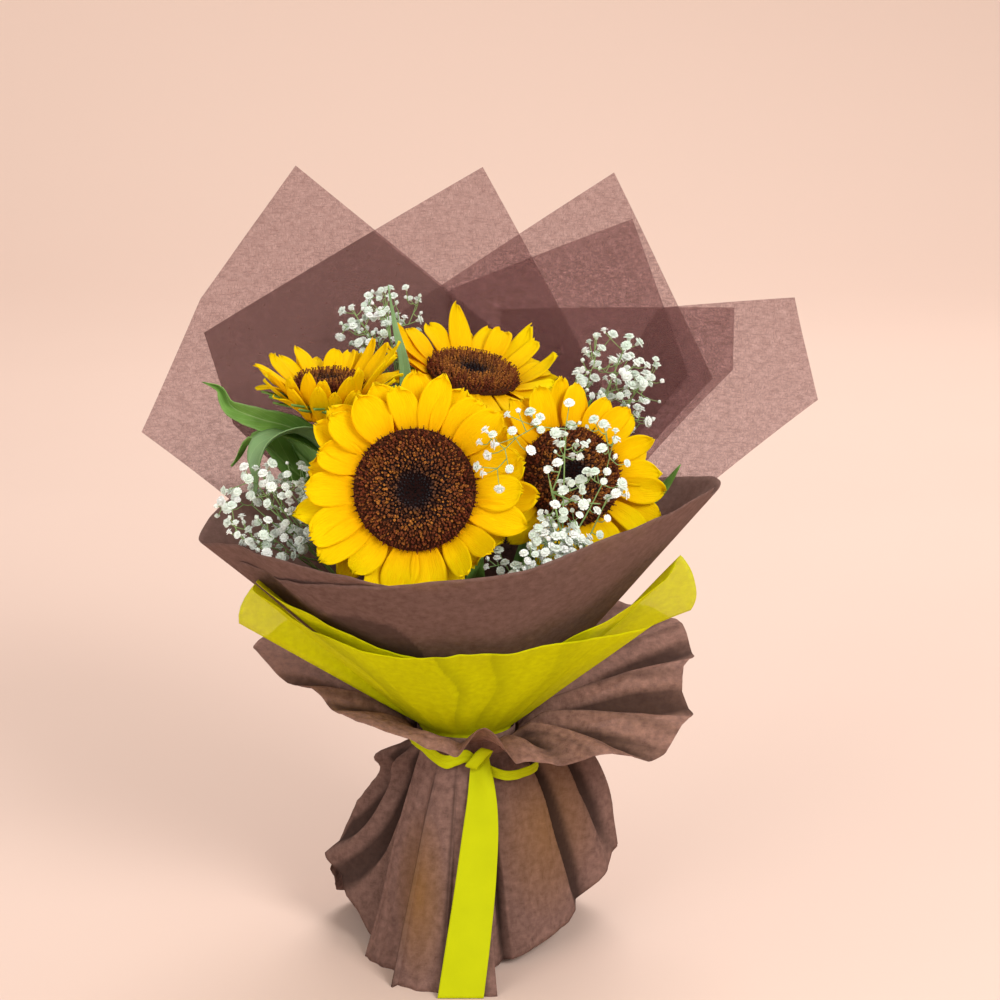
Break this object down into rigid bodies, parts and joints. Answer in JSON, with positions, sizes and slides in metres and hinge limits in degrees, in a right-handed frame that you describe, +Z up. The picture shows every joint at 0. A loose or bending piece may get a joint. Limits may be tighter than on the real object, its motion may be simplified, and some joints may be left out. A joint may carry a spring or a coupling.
{
  "type": "bunch of sunflowers",
  "caption": "Hand-tied bunch of sunflowers and gypsophila in brown and yellow wrapping sheets, gathered by a ribbon and standing on its cut stems and hem.",
  "frame": {"origin": "middle of the bounding box on the plane of the surface it stands on", "axes": "+Z up along the tie, -Y towards the front of the bunch, +X to its right as seen from the front"},
  "size_m": [0.3778, 0.249, 0.425],
  "materials": {
    "petal": "satin",
    "disc": "matte",
    "green": "satin",
    "gypsophila": "matte",
    "twine": "matte",
    "brown_wrap": "matte",
    "yellow_wrap": "matte",
    "ribbon": "satin"
  },
  "bodies": {
    "root": {"sunflower_front_rays": "petal", "sunflower_front_disc": "disc", "sunflower_front_stem": "green", "sunflower_right_rays": "petal", "sunflower_right_disc": "disc", "sunflower_right_stem": "green", "sunflower_top_rays": "petal", "sunflower_top_disc": "disc", "sunflower_top_stem": "green", "sunflower_left_rays": "petal", "sunflower_left_disc": "disc", "sunflower_left_stem": "green", "gypsophila_left": "gypsophila", "gypsophila_back": "gypsophila", "gypsophila_upper_right": "gypsophila", "gypsophila_middle": "gypsophila", "gypsophila_lower_right": "gypsophila", "twine": "twine", "wrap_back_1": "brown_wrap", "wrap_back_2": "brown_wrap", "wrap_back_3": "brown_wrap", "wrap_back_4": "brown_wrap", "wrap_back_5": "brown_wrap", "wrap_back_6": "brown_wrap", "wrap_front_inner": "brown_wrap", "wrap_front_outer": "brown_wrap", "yellow_inner": "yellow_wrap", "yellow_outer": "yellow_wrap", "collar": "brown_wrap", "skirt_back": "brown_wrap", "skirt_front": "brown_wrap", "ribbon": "ribbon"}
  },
  "joints": []
}
